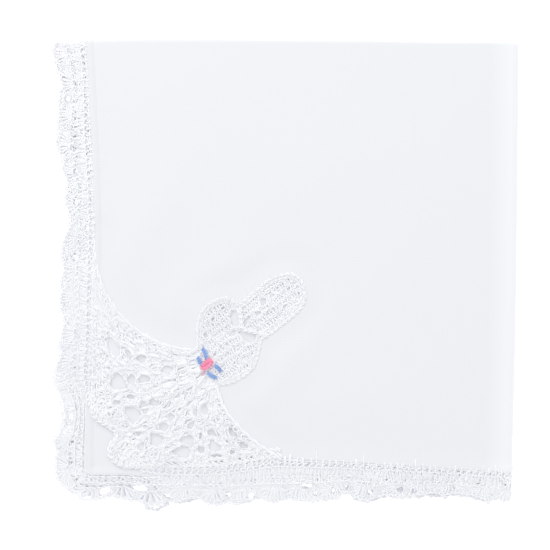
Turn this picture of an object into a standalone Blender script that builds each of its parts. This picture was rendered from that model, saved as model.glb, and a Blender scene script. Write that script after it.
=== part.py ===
"""A lady's linen handkerchief with a crochet edging and one crochet corner, folded in quarters.

The handkerchief is drawn as its open flat pattern, in the plane of s (to the right) and t (up),
with the crossing of the two folds at s = 0, t = 0. It is folded over the top edge first (the
line t = 0) and then behind the right edge (the line s = 0), which leaves four layers:

    layer 1, on top     s < 0, t < 0    it carries the crochet corner
    layer 2             s < 0, t > 0
    layer 3             s > 0, t > 0
    layer 4, below      s > 0, t < 0    it lies flat on the surface

Metres, +Z up. The origin is at the middle of the folded square, on the surface that it lies on.
"""

import math

import bmesh
import bpy
from mathutils import Vector
from mathutils.geometry import delaunay_2d_cdt

MM = 0.001

# The open handkerchief
LINEN_HALF = 134.6 * MM      # from the crossing of the folds to the hem
LACE_WIDTH = 8.6 * MM        # from the hem to the middle of the scallops
SCALLOP_PITCH = 9.6 * MM
SCALLOP_RISE = 1.5 * MM
# The scallops are uneven: slow waves, as shares of the rise and of the scallops' own rate
WANDER = {"share": (0.35, 0.30), "rate": (0.37, 0.23), "start": (0.0, 1.0)}
LACE_CORNER = 11.0 * MM      # radius of the edging's outer corners
HEM_CORNER = 1.5 * MM
END_WIDTH = 2.2 * MM         # the edging's two ends, where it narrows into the fan's border
END_TAPER = 13.0 * MM        # and the length over which it narrows

# The folded stack
CLOTH = 1.0 * MM             # thickness of the linen and of the crochet
LAYER_PITCH = 1.5 * MM       # from the middle of one layer to the middle of the next
GAP = 0.3 * MM               # between pieces that meet

# Facets
GRID = 14.0 * MM             # distance between the points inside a sheet
CURVE_STEP = 2.6 * MM        # distance between the points of an outline
SIDE_FACETS = 6              # facets in a quarter turn of the side fold
TOP_FACETS = 3               # and of the tighter top fold

# The crochet corner, in millimetres left of the side fold and below the top fold
SCOOP_START = 62.0           # where the hem of layer 1 leaves the left edge
NECK_LEFT = (101.2, 96.4)    # where the linen comes closest to itself
NECK_RIGHT = (94.4, 107.6)
SCOOP_END = (73.5, 130.2)    # where the linen comes back to its lower hem
FAN_FOOT = 133.4             # lower edge of the fan, where the edging takes over
FAN_HEEL = 118.5             # left end of that lower edge
FAN_SHOULDER = 105.0         # where the fan's border leaves the left edging
FAN_TIP = 9.0                # the fan starts this far below the start of the scoop

# The drawn-in border of the fan at the corner, from the shoulder to the heel
FAN_BORDER = {"left": (133.6, 131.2, 127.4, 126.4, 128.6, 128.0, 124.2),
              "down": (111.5, 117.0, 120.2, 123.2, 126.2, 130.4, 132.9)}

# The crochet flower: its left petal, the bud, and the lower petal
FLOWER_EDGE = {"left": (101.4, 101.2, 99.2, 95.0, 90.8, 88.2, 84.6, 78.6, 72.8, 68.6, 66.7,
                        68.4, 73.4, 78.6, 80.2, 80.9, 82.4, 86.2, 90.6),
               "down": (92.0, 87.0, 82.8, 80.3, 79.9, 81.6, 78.8, 74.0, 72.2, 73.8, 79.4,
                        83.8, 88.2, 92.2, 92.8, 96.6, 101.8, 105.2, 107.2)}

# Rows of open loops in the fan, counted out from the neck
LOOP_ROWS = {"radius": (28.6, 22.2),
             "first": (-14.0, 8.0),
             "step": (21.6, 22.5),
             "count": (7, 5),
             "long": (4.8, 3.4),
             "wide": (4.0, 2.8)}
# Open loops in the flower
FLOWER_LOOPS = {"left": (89.2, 84.8, 91.6),
                "down": (87.0, 92.6, 99.0),
                "long": (5.2, 4.8, 3.6),
                "wide": (2.4, 3.0, 2.4),
                "turn": (80.0, 0.0, 30.0)}

# How far each layer's free corner strays, to the left and downwards
STRAY = {"layer": (1, 2, 3, 4),
         "left": (0.0, 1.0, -0.6, 1.8),
         "down": (0.0, 1.2, 1.5, 0.2)}

# The folded square isn't true: its side fold leans in towards the foot, and the top fold bows
LEAN = 2.0 * MM
LEAN_POWER = 2.2             # most of the lean is near the foot
BOW = 1.0 * MM
BOW_POWER = 0.45             # the bow is highest on the open side's half
WAIST = 1.6 * MM             # the open left side draws in above its middle
WAIST_REACH = 0.8            # and is true again this share of the way down
FLARE = 0.9 * MM             # and it flares out at the top fold
FLARE_REACH = 0.5            # over this share of its length
LIFT = 1.0 * MM              # the cloth is drawn up towards the top fold
LIFT_POWER = 4
SPREAD = 0.6 * MM            # and out towards the side fold
SPREAD_POWER = 2

# Soft swells in the top layer: place, half lengths and height in mm, turn in degrees
SWELLS = {"left": (118.0, 100.0, 76.0, 52.0, 34.0, 60.0),
          "down": (58.0, 78.0, 104.0, 112.0, 60.0, 40.0),
          "long": (26.0, 16.0, 17.0, 26.0, 34.0, 30.0),
          "wide": (8.0, 6.0, 6.5, 10.0, 13.0, 12.0),
          "turn": (62.0, 50.0, 48.0, 12.0, 70.0, 20.0),
          "high": (0.7, 0.8, 0.9, 0.5, 0.4, 0.35)}
SWELL_CLEAR = 9.0 * MM       # the swells die away this close to a fold

# The embroidered rosebud: its middle, and the bullion stitches of its bud and leaves, in mm
ROSEBUD = {"left": 97.4, "down": 101.2, "long": 4.2, "wide": 2.7, "high": 1.8, "turn": 40.0}
LEAVES = {"left": (98.5, 99.9, 94.0, 95.6),
          "down": (97.4, 99.7, 102.1, 104.0),
          "long": (4.4, 3.5, 3.6, 4.6),
          "wide": (1.5, 1.4, 1.4, 1.5),
          "high": (1.2, 1.1, 1.1, 1.2),
          "turn": (-68.0, -64.0, -48.0, -26.0)}


def rows(table):
    """The rows of a table whose columns are named."""
    return [dict(zip(table, row)) for row in zip(*table.values())]


def flat(left, down):
    """A place on layer 1, in millimetres from the folds, as a point of the flat pattern."""
    return Vector((-left * MM, -down * MM))


def key_points(table):
    return [flat(row["left"], row["down"]) for row in rows(table)]


# ---- How the flat pattern is folded ----

def half_turn(distance, radius, offset):
    """A strip bent back on itself. Gives how far out a point lies and its height.

    distance runs along the strip from the middle of the bend, and offset out of its surface.
    """
    quarter = math.pi * radius / 2
    if abs(distance) < quarter:
        angle = distance / radius
        return (radius + offset) * math.cos(angle), -(radius + offset) * math.sin(angle)
    return quarter - abs(distance), math.copysign(radius + offset, -distance)


def ease(value):
    value = min(max(value, 0.0), 1.0)
    return value * value * (3 - 2 * value)


def stray(s, t):
    """Each layer's free corner lies a little away from the others'."""
    layer = {(True, True): 1, (True, False): 2, (False, False): 3, (False, True): 4}[s < 0, t < 0]
    row = rows(STRAY)[layer - 1]
    across, along = abs(s) / LINEN_HALF, abs(t) / LINEN_HALF
    out_s = math.copysign(row["left"] * MM * across * ease(along), s)
    out_t = math.copysign(row["down"] * MM * along * ease(across), t)
    return s + out_s, t + out_t


def swell(s, t):
    """Height of the soft swells in layer 1."""
    if s >= 0 or t >= 0:
        return 0.0
    height = 0.0
    for row in rows(SWELLS):
        away = Vector((s, t)) - flat(row["left"], row["down"])
        turn = math.radians(row["turn"])
        along = (away.x * math.cos(turn) + away.y * math.sin(turn)) / (row["long"] * MM)
        across = (away.y * math.cos(turn) - away.x * math.sin(turn)) / (row["wide"] * MM)
        height += row["high"] * MM * math.exp(-along * along - across * across)
    fade = ease((-s - SWELL_CLEAR) / SWELL_CLEAR) * ease((-t - SWELL_CLEAR) / SWELL_CLEAR)
    return height * fade


def folded(s, t, offset):
    """The place in the folded stack of a point of the flat pattern.

    offset is measured out of the middle of the cloth, towards its face.
    """
    rise = swell(s, t)
    s, t = stray(s, t)
    y, z = half_turn(t, LAYER_PITCH / 2, offset)
    x, z = half_turn(s, LAYER_PITCH, z)
    across, along = -x / LINEN_HALF, -y / LINEN_HALF
    x -= LEAN * max(along, 0.0) ** LEAN_POWER * (1 - across)
    x += WAIST * across * math.sin(math.pi * min(max(along / WAIST_REACH, 0.0), 1.0))
    x -= FLARE * across * (1 - ease(along / FLARE_REACH))
    x += SPREAD * max(1 - across, 0.0) ** SPREAD_POWER
    y += LIFT * max(1 - along, 0.0) ** LIFT_POWER
    y += BOW * math.sin(math.pi * min(max(1 - across, 0.0), 1.0) ** BOW_POWER) * (1 - along)
    return Vector((x, y, z + rise))


# ---- Outlines ----

def smooth(points, step=CURVE_STEP):
    """An even curve through the given points."""
    ends = [2 * points[0] - points[1], *points, 2 * points[-1] - points[-2]]
    line = []
    for a, b, c, d in zip(ends, ends[1:], ends[2:], ends[3:]):
        count = max(1, round((c - b).length / step))
        for k in range(count):
            u = k / count
            line.append(0.5 * (2 * b + (c - a) * u + (2 * a - 5 * b + 4 * c - d) * u * u
                               + (3 * b - a - 3 * c + d) * u ** 3))
    return [*line, points[-1]]


def beside(points, distance):
    """The same line moved to its right by the distance."""
    moved = []
    for k, point in enumerate(points):
        along = points[min(k + 1, len(points) - 1)] - points[max(k - 1, 0)]
        moved.append(point + Vector((along.y, -along.x)).normalized() * distance)
    return moved


def left_scoop(start=0.0):
    """From the left hem round to the neck: a quarter of an ellipse, from a start in mm below."""
    centre = flat(NECK_LEFT[0], SCOOP_START)
    reach = LINEN_HALF + centre.x, (NECK_LEFT[1] - SCOOP_START) * MM
    first = math.asin(start * MM / reach[1])
    steps = 16
    angles = [first + (math.pi / 2 - first) * k / steps for k in range(steps + 1)]
    return [centre + Vector((-reach[0] * math.cos(a), -reach[1] * math.sin(a))) for a in angles]


def right_scoop():
    """From the neck down to the lower hem, bulging a little into the fan."""
    start, end = flat(*NECK_RIGHT), flat(*SCOOP_END)
    bulge = 3.2 * MM
    side = Vector((start.y - end.y, end.x - start.x)).normalized()
    middle = (start + end) / 2 - side * bulge
    return smooth([start, start.lerp(middle, 0.5) - side * 0.4 * bulge, middle,
                   middle.lerp(end, 0.5) - side * 0.2 * bulge, end])


def flower_edge():
    return smooth([flat(*NECK_LEFT), *key_points(FLOWER_EDGE), flat(*NECK_RIGHT)])


def lower_hem():
    """The lower hem of layer 1, from the scoop to the side fold, drawn up towards the fan."""
    start, end = flat(*SCOOP_END), Vector((0.0, -LINEN_HALF))
    return smooth([start, start.lerp(end, 0.5) + Vector((0, 0.2 * MM)), end], GRID)


def fan_foot():
    """The fan's lower edge, from the end of the scoop to the fan's heel."""
    return smooth([flat(*SCOOP_END), flat(SCOOP_END[0] + 10.0, FAN_FOOT - 1.6),
                   flat(SCOOP_END[0] + 24.0, FAN_FOOT), flat(FAN_HEEL, FAN_FOOT)], 6 * MM)


def rounded_walk(corners, radius, step):
    """Points along straight runs between corners, the inner corners rounded."""
    line = []
    for k, corner in enumerate(corners):
        if k in (0, len(corners) - 1):
            bend = [corner]
        else:
            back = (corners[k - 1] - corner).normalized() * radius
            ahead = (corners[k + 1] - corner).normalized() * radius
            count = max(3, round(radius * math.pi / 2 / step))
            bend = [corner + back * (1 - n / count) ** 2 + ahead * (n / count) ** 2
                    for n in range(count + 1)]
        if line:
            run = bend[0] - line[-1]
            count = max(1, round(run.length / step))
            line += [line[-1] + run * n / count for n in range(1, count)]
        line += bend
    return line


def scalloped(line, pitch, rise):
    """The line with a row of scallops standing out to its left."""
    total = sum((b - a).length for a, b in zip(line, line[1:]))
    waves = round(total / pitch)
    travelled, out = 0.0, []
    for k, (point, edge) in enumerate(zip(line, beside(line, -1.0))):
        if k:
            travelled += (point - line[k - 1]).length
        phase = math.pi * waves * travelled / total
        wander = sum(row["share"] * math.sin(phase * row["rate"] + row["start"]) for row in rows(WANDER))
        out.append(point + (edge - point).normalized() * rise * (abs(math.sin(phase)) + wander - 0.5))
    return out


# ---- Solids ----

def inside(point, outline):
    """Whether the point lies within the outline."""
    crossings = 0
    for a, b in zip(outline, outline[1:] + outline[:1]):
        if (a.y > point.y) != (b.y > point.y):
            crossings += point.x < a.x + (b.x - a.x) * (point.y - a.y) / (b.y - a.y)
    return crossings % 2 == 1


def clearance(point, line):
    return min((point - other).length for other in line)


def lattice(outline, holes):
    """Inner points of a sheet, clear of its edges, so that it can bend and swell."""
    edge = [point for loop in (outline, *holes) for point in loop]
    reach = math.ceil(max(abs(point[i]) for point in outline for i in (0, 1)) / GRID)
    places = [Vector((GRID * i, GRID * j))
              for i in range(-reach, reach + 1) for j in range(-reach, reach + 1)]
    return [place for place in places
            if inside(place, outline) and not any(inside(place, hole) for hole in holes)
            and clearance(place, edge) > 0.45 * GRID]


def fold_lines():
    """Where the sheet is cut into facets so that its folds come out round."""
    side = [math.pi * LAYER_PITCH / 2 * k / SIDE_FACETS for k in range(-SIDE_FACETS, SIDE_FACETS + 1)]
    top = [math.pi * LAYER_PITCH / 4 * k / TOP_FACETS for k in range(-TOP_FACETS, TOP_FACETS + 1)]
    return [(Vector((place, 0, 0)), Vector((1, 0, 0))) for place in side] + \
           [(Vector((0, place, 0)), Vector((0, 1, 0))) for place in top]


def material(name, colour, roughness):
    made = bpy.data.materials.new(name)
    made.use_nodes = True
    shader = made.node_tree.nodes["Principled BSDF"]
    shader.inputs["Base Color"].default_value = (*colour, 1.0)
    shader.inputs["Roughness"].default_value = roughness
    made.diffuse_color = (*colour, 1.0)
    return made


def add_object(name, mesh, finish):
    data = bpy.data.meshes.new(name)
    mesh.to_mesh(data)
    mesh.free()
    data.materials.append(finish)
    made = bpy.data.objects.new(name, data)
    bpy.context.collection.objects.link(made)
    return made


def sheet(name, outline, holes, finish):
    """A sheet of cloth cut to the outline, folded into the stack and given its thickness."""
    loops = [list(outline), *(list(hole) for hole in holes)]
    points, edges = [], []
    for loop in loops:
        first, count = len(points), len(loop)
        points += loop
        edges += [(first + k, first + (k + 1) % count) for k in range(count)]
    points += lattice(loops[0], loops[1:])
    within_outline = 1
    places, _, faces, *_ = delaunay_2d_cdt(points, edges, [], within_outline, 1e-7)
    mesh = bmesh.new()
    corners = [mesh.verts.new((place.x, place.y, 0.0)) for place in places]
    for face in faces:
        middle = sum((places[k] for k in face), Vector((0, 0))) / 3
        if not any(inside(middle, hole) for hole in loops[1:]):
            mesh.faces.new([corners[k] for k in face])
    for place, across in fold_lines():
        bmesh.ops.bisect_plane(mesh, geom=mesh.verts[:] + mesh.edges[:] + mesh.faces[:],
                               dist=0.02 * MM, plane_co=place, plane_no=across)
    bmesh.ops.triangulate(mesh, faces=mesh.faces[:])
    grown = bmesh.ops.extrude_face_region(mesh, geom=mesh.faces[:])
    for corner in mesh.verts:
        corner.co.z = -CLOTH / 2
    for corner in (item for item in grown["geom"] if isinstance(item, bmesh.types.BMVert)):
        corner.co.z = CLOTH / 2
    bmesh.ops.recalc_face_normals(mesh, faces=mesh.faces[:])
    for corner in mesh.verts:
        corner.co = folded(*corner.co)
    return add_object(name, mesh, finish)


def loop_hole(middle, length, width, turn):
    """One open loop of the net, as a rounded six-sided opening."""
    along = Vector((math.cos(turn), math.sin(turn)))
    across = Vector((-along.y, along.x))
    angles = [math.pi / 3 * k for k in range(6)]
    return [middle + along * (length / 2 * math.cos(a)) + across * (width / 2 * math.sin(a))
            for a in angles]


def make_linen(finish):
    """The folded linen square, cut away at one corner for the crochet."""
    half = LINEN_HALF
    far = rounded_walk([Vector((0, -half)), Vector((half, -half)), Vector((half, half)),
                        Vector((-half, half)), Vector((-half, -SCOOP_START * MM))],
                       HEM_CORNER, GRID)
    motif = [*left_scoop()[:-1], *flower_edge()[:-1], *right_scoop()[:-1], *lower_hem()[:-1]]
    return sheet("linen", far[:-1] + motif, [], finish)


def make_edging(finish):
    """The crochet edging: one strip round the hem, open where the fan takes its place."""
    inner, outer = LINEN_HALF + GAP, LINEN_HALF + LACE_WIDTH
    shoulder, heel = -FAN_SHOULDER * MM, -FAN_HEEL * MM
    left_end, foot_end = Vector((-inner - END_WIDTH, shoulder)), flat(FAN_HEEL, FAN_FOOT + 3.0)
    outside = rounded_walk([left_end, Vector((-outer, shoulder + END_TAPER)), Vector((-outer, outer)),
                            Vector((outer, outer)), Vector((outer, -outer)),
                            Vector((heel + END_TAPER, -outer)), foot_end],
                           LACE_CORNER, SCALLOP_PITCH / 4)
    outside = scalloped(outside, SCALLOP_PITCH, SCALLOP_RISE)
    below = Vector((0, -GAP))
    back = [point + below for point in [*reversed(fan_foot()), *lower_hem()[1:-1]]]
    ring = rounded_walk([Vector((0, -inner)), Vector((inner, -inner)), Vector((inner, inner)),
                         Vector((-inner, inner)), Vector((-inner, shoulder))], HEM_CORNER, GRID)
    return sheet("lace_edging", outside + back + ring, [], finish)


def make_corner(finish):
    """The fan of crochet net that fills the scooped corner, down to its drawn-in border."""
    half = LINEN_HALF
    scoop = beside(left_scoop(FAN_TIP), GAP)
    neck = beside([flat(*NECK_LEFT), flat(*NECK_RIGHT)], GAP)
    right = beside(right_scoop(), GAP)
    foot = fan_foot()[1:]
    border = smooth([flat(FAN_HEEL, FAN_FOOT), *reversed(key_points(FAN_BORDER)),
                     Vector((-half, -FAN_SHOULDER * MM))])
    outline = [*scoop[:-1], *neck, *right[1:], *foot[:-1], *border]
    middle = (flat(*NECK_LEFT) + flat(*NECK_RIGHT)) / 2
    holes = []
    for row in rows(LOOP_ROWS):
        for k in range(row["count"]):
            angle = math.radians(180 + row["first"] + row["step"] * k)
            out = Vector((math.cos(angle), math.sin(angle)))
            holes.append(loop_hole(middle + out * row["radius"] * MM, row["long"] * MM,
                                   row["wide"] * MM, angle))
    return sheet("lace_corner", outline, holes, finish)


def make_flower(finish):
    """The crochet flower at the head of the fan: two petals and a bud."""
    outline = beside(flower_edge(), GAP)
    holes = [loop_hole(flat(row["left"], row["down"]), row["long"] * MM, row["wide"] * MM,
                       math.radians(row["turn"])) for row in rows(FLOWER_LOOPS)]
    return sheet("lace_flower", outline, holes, finish)


def make_stitch(name, row, finish):
    """One raised bullion stitch, as a long low dome that lies on the crochet."""
    mesh = bmesh.new()
    bmesh.ops.create_uvsphere(mesh, u_segments=10, v_segments=6, radius=0.5)
    turn = math.radians(row["turn"])
    middle = flat(row["left"], row["down"])
    for corner in mesh.verts:
        along, across = corner.co.x * row["long"] * MM, corner.co.y * row["wide"] * MM
        s = middle.x + along * math.cos(turn) - across * math.sin(turn)
        t = middle.y + along * math.sin(turn) + across * math.cos(turn)
        height = max(corner.co.z, -0.15) + 0.15
        corner.co = folded(s, t, CLOTH / 2 + GAP + height * row["high"] * MM)
    bmesh.ops.remove_doubles(mesh, verts=mesh.verts[:], dist=0.005 * MM)
    return add_object(name, mesh, finish)


def settle(made):
    """Move everything so that the folded square is centred on the origin and lies on z = 0."""
    corners = [corner.co for item in made for corner in item.data.vertices]
    low = Vector([min(corner[i] for corner in corners) for i in range(3)])
    high = Vector([max(corner[i] for corner in corners) for i in range(3)])
    shift = -Vector(((low.x + high.x) / 2, (low.y + high.y) / 2, low.z))
    for item in made:
        for corner in item.data.vertices:
            corner.co += shift
        item.data.update()


def main():
    for old in list(bpy.data.objects):
        bpy.data.objects.remove(old, do_unlink=True)
    linen = material("white linen lawn", (0.86, 0.87, 0.90), 0.85)
    thread = material("white crochet cotton", (0.84, 0.85, 0.87), 0.9)
    pink = material("pink cotton floss", (0.95, 0.40, 0.58), 0.6)
    blue = material("blue cotton floss", (0.27, 0.45, 0.80), 0.6)
    made = [make_linen(linen), make_edging(thread), make_corner(thread), make_flower(thread),
            make_stitch("rosebud", ROSEBUD, pink)]
    for number, row in enumerate(rows(LEAVES), 1):
        made.append(make_stitch(f"leaf_{number}", row, blue))
    settle(made)


main()
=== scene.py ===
from math import cos, pi, radians, sin, sqrt

import bmesh
import bpy
import numpy as np
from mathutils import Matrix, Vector


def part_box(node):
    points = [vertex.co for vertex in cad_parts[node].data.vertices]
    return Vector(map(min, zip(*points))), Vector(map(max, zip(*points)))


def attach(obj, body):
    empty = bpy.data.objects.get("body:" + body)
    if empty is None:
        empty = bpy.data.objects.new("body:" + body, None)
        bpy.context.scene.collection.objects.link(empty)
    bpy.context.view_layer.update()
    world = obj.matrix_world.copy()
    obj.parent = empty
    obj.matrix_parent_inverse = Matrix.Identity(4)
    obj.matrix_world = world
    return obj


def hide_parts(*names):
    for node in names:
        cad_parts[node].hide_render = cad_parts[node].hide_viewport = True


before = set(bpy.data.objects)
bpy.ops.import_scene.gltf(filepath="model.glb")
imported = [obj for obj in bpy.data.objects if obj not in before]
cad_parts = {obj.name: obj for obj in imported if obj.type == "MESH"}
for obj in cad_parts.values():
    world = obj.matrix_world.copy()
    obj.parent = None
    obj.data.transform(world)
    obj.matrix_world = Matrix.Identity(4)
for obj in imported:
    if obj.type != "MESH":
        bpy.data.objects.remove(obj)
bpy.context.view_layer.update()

# A white linen handkerchief, folded in quarters. All of it is drawn on the open flat pattern,
# in mm, s to the right and t up with the folds crossing at 0, 0, and then folded in foldUp.
mm = 0.001
scene = bpy.context.scene

plan = {
    "linenHalf": 134.6,       # from the crossing of the folds to the hem
    "laceWidth": 8.6,
    "layerPitch": 1.5,
    "solidCloth": 1.0,        # thickness of the solids' cloth, which places the stack
    "lean": 2.0, "leanPower": 2.2,
    "bow": 1.0, "bowPower": 0.45,
    "waist": 1.6, "waistReach": 0.8,
    "flare": 0.9, "flareReach": 0.5,
    "lift": 1.0, "liftPower": 4,
    "spread": 0.6, "spreadPower": 2,
    # the second layer is pressed up to the first at the free corner
    "press": 0.8, "pressFrom": 25.0, "pressOver": 35.0,
    "hemCorner": 1.5,
    "strayLeft": (0.0, 1.0, -0.6, 1.8),
    "strayDown": (0.0, 0.5, 0.8, 0.0),
    "swellClear": 9.0,
    "swells": {"left": (118.0, 100.0, 76.0, 52.0, 34.0, 60.0),
               "down": (58.0, 78.0, 104.0, 112.0, 60.0, 40.0),
               "long": (26.0, 16.0, 17.0, 26.0, 34.0, 30.0),
               "wide": (8.0, 6.0, 6.5, 10.0, 13.0, 12.0),
               "turn": (62.0, 50.0, 48.0, 12.0, 70.0, 20.0),
               "high": (0.7, 0.8, 0.9, 0.5, 0.4, 0.35)},
}

half = plan["linenHalf"]

# The crochet corner of the top layer, in mm left of the side fold and below the top fold
corner = {
    "scoopStart": 62.0, "neckLeft": (101.2, 96.4), "scoopLong": 54.0,
    "neckRight": (94.4, 107.6), "scoopEnd": (73.5, 130.2), "scoopBow": 3.2, "bowShares": (0.4, 0.2),
    "fanFoot": 133.4, "footBends": ((10.0, 1.6), (24.0, 0.0)), "hemRise": 0.2,
    "fanHeel": 118.5, "fanShoulder": 114.0,
    "borderLeft": (133.6, 131.0, 127.4, 126.4, 128.6, 128.0, 124.2),
    "borderDown": (117.4, 119.4, 121.4, 123.2, 126.2, 130.4, 132.9),
    "flowerLeft": (101.4, 101.2, 99.2, 95.0, 90.8, 88.2, 84.6, 78.6, 72.8, 68.6, 66.7, 68.4, 73.4, 78.6,
                   80.2, 80.9, 82.4, 86.2, 90.6),
    "flowerDown": (92.0, 87.0, 82.8, 80.3, 79.9, 81.6, 78.8, 74.0, 72.2, 73.8, 79.4, 83.8, 88.2, 92.2,
                   92.8, 96.6, 101.8, 105.2, 107.2),
}


def heading(turn):
    return np.array((cos(turn), sin(turn)))


def rows(table):
    return [dict(zip(table, row)) for row in zip(*table.values())]


def ease(value):
    value = np.clip(value, 0.0, 1.0)
    return value * value * (3 - 2 * value)


def wander(s, t, size, seed):
    # a smooth random height, from a few crossed waves about so many mm long
    waves = np.random.default_rng(seed)
    total = np.zeros_like(s)
    for _ in range(7):
        turn, phase = waves.uniform(0, 2 * pi, 2)
        length = size * waves.uniform(0.7, 1.6)
        total += np.sin((s * cos(turn) + t * sin(turn)) * 2 * pi / length + phase)
    return total / 3.7


def flat(left, down):
    return np.array((-left, -down), float)


def flatLine(left, down):
    return [flat(*place) for place in zip(left, down)]


def atHeight(line, up):
    return np.column_stack((line, np.broadcast_to(up, len(line))))


def halfTurn(distance, radius, offset):
    quarter = pi * radius / 2
    angle = np.clip(distance, -quarter, quarter) / radius
    out = (radius + offset) * np.cos(angle) - np.maximum(np.abs(distance) - quarter, 0)
    return out, -(radius + offset) * np.sin(angle)


def inOval(oval, s, t):
    # a place in a turned oval's own directions, along and across, where its ends are at 1
    turn = radians(oval["turn"])
    x, y = s + oval["left"], t + oval["down"]
    return ((x * cos(turn) + y * sin(turn)) / oval["long"],
            (y * cos(turn) - x * sin(turn)) / oval["wide"])


def swellAt(s, t):
    height = np.zeros_like(s)
    for swell in rows(plan["swells"]):
        along, across = inOval(swell, s, t)
        height += swell["high"] * np.exp(-along * along - across * across)
    clear = plan["swellClear"]
    return height * ease((-s - clear) / clear) * ease((-t - clear) / clear)


def foldUp(points):
    # points: s, t and the height off the middle of the cloth, in mm. Gives metres, in the stack
    s, t, offset = np.asarray(points, float).T
    pitch = plan["layerPitch"]
    pressed = ease((np.minimum(np.abs(s), np.abs(t)) - plan["pressFrom"]) / plan["pressOver"])
    rise = swellAt(s, t) + plan["press"] * pressed * ((s < 0) & (t >= 0))
    layer = np.where(s < 0, np.where(t < 0, 0, 1), np.where(t < 0, 3, 2))
    across, along = np.abs(s) / half, np.abs(t) / half
    s = s + np.sign(s) * np.take(plan["strayLeft"], layer) * across * ease(along)
    t = t + np.sign(t) * np.take(plan["strayDown"], layer) * along * ease(across)
    y, z = halfTurn(t, pitch / 2, offset)
    x, z = halfTurn(s, pitch, z)
    across, along = -x / half, -y / half
    x = x - plan["lean"] * np.maximum(along, 0) ** plan["leanPower"] * (1 - across)
    x = x + plan["waist"] * across * np.sin(pi * np.clip(along / plan["waistReach"], 0, 1))
    x = x - plan["flare"] * across * (1 - ease(along / plan["flareReach"]))
    x = x + plan["spread"] * np.maximum(1 - across, 0) ** plan["spreadPower"]
    y = y + plan["lift"] * np.maximum(1 - along, 0) ** plan["liftPower"]
    y = y + plan["bow"] * np.sin(pi * np.clip(1 - across, 0, 1) ** plan["bowPower"]) * (1 - along)
    return np.stack((x, y, z + rise), axis=-1) * mm + stackPlace


# The stack goes where the solid cloth of the frame is: its two folds and its underside meet it
stackPlace = np.zeros(3)
linenLow, linenHigh = (np.array(end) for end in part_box("linen"))
sweep = np.linspace(-half, half, 200)
skin = np.full(200, plan["solidCloth"] / 2)
topFold = foldUp(np.stack((sweep, sweep * 0, skin), axis=-1))
sideFold = foldUp(np.stack((sweep * 0, sweep, skin), axis=-1))
underside = foldUp(np.stack((np.full(200, 60.0), -np.abs(sweep), skin), axis=-1))
stackPlace = np.array((linenHigh[0] - sideFold[:, 0].max(), linenHigh[1] - topFold[:, 1].max(),
                       linenLow[2] - underside[:, 2].min()))


def smoothLine(points, step):
    # an even curve through the points
    points = np.asarray(points, float)
    ends = np.vstack((2 * points[0] - points[1], points, 2 * points[-1] - points[-2]))
    line = []
    for a, b, c, d in zip(ends, ends[1:], ends[2:], ends[3:]):
        u = np.linspace(0, 1, max(2, round(np.linalg.norm(c - b) / step) + 1))[:-1, None]
        line.append(0.5 * (2 * b + (c - a) * u + (2 * a - 5 * b + 4 * c - d) * u * u
                           + (3 * b - a - 3 * c + d) * u ** 3))
    return np.vstack((*line, points[-1:]))


def leftScoop(step=1.2):
    centre = flat(corner["neckLeft"][0], corner["scoopStart"])
    reach = half + centre[0], corner["neckLeft"][1] - corner["scoopStart"]
    angles = np.linspace(0, pi / 2, round(corner["scoopLong"] / step))
    return centre - np.stack((reach[0] * np.cos(angles), reach[1] * np.sin(angles)), axis=-1)


def rightScoop(step=1.2):
    start, end = flat(*corner["neckRight"]), flat(*corner["scoopEnd"])
    side = np.array((start[1] - end[1], end[0] - start[0]))
    side = side / np.linalg.norm(side) * corner["scoopBow"]
    middle = (start + end) / 2 - side
    before, after = corner["bowShares"]
    return smoothLine([start, (start + middle) / 2 - side * before, middle,
                       (middle + end) / 2 - side * after, end], step)


def flowerEdge(step=1.0):
    inner = flatLine(corner["flowerLeft"], corner["flowerDown"])
    return smoothLine([flat(*corner["neckLeft"]), *inner, flat(*corner["neckRight"])], step)


def fanFoot(step=1.2):
    left, foot = corner["scoopEnd"][0], corner["fanFoot"]
    bends = [flat(left + further, foot - rise) for further, rise in corner["footBends"]]
    return smoothLine([flat(*corner["scoopEnd"]), *bends, flat(corner["fanHeel"], foot)], step)


def fanBorder(step=1.2):
    inner = flatLine(corner["borderLeft"], corner["borderDown"])
    return smoothLine([flat(half, corner["fanShoulder"]), *inner,
                       flat(corner["fanHeel"], corner["fanFoot"])], step)


def lowerHem(step=1.2):
    start, end = flat(*corner["scoopEnd"]), np.array((0.0, -half))
    return smoothLine([start, (start + end) / 2 + (0, corner["hemRise"]), end], step)


print("plan: folded square placed at", np.round(stackPlace, 5))


# Materials

def linear(hexColour):
    parts = [int(hexColour[k:k + 2], 16) / 255 for k in (0, 2, 4)]
    return [p / 12.92 if p <= 0.04045 else ((p + 0.055) / 1.055) ** 2.4 for p in parts] + [1.0]


def addNode(tree, kind, settings=(), links=()):
    # settings: name or socket and value. links: socket and the output that feeds it
    node = tree.nodes.new("ShaderNode" + kind)
    for name, value in dict(settings).items():
        if hasattr(node, str(name)):
            setattr(node, name, value)
        else:
            node.inputs[name].default_value = value
    for name, output in dict(links).items():
        tree.links.new(output, node.inputs[name])
    return node


def newMaterial(name, settings):
    made = bpy.data.materials.new(name)
    made.use_nodes = True
    shader = made.node_tree.nodes["Principled BSDF"]
    for socket, value in {"Specular IOR Level": 0.3, **settings}.items():
        shader.inputs[socket].default_value = value
    return made, made.node_tree, shader


linenLook = {
    "colour": "d7d9dd", "threadTint": "d5d7db", "tintRamp": (0.3, 0.62), "roughness": 0.85, "sheen": 0.1,
    "threadPitch": 0.9,       # mm. Lawn has about 3 threads a mm, too fine to show, so coarser
    "uneven": 0.6, "slubWide": 0.625, "slubLength": 9.0, "bump": 0.2, "relief": 0.05,
    # painted highlight: the lighter colour that the linen is painted near the side fold
    "foldHighlightColour": "e2e4e7",
    "foldHighlightWide": (2.0, 9.0),         # mm. Painted highlight: a lighter colour painted in along the side fold, full within the first distance and gone past the second
}


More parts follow.
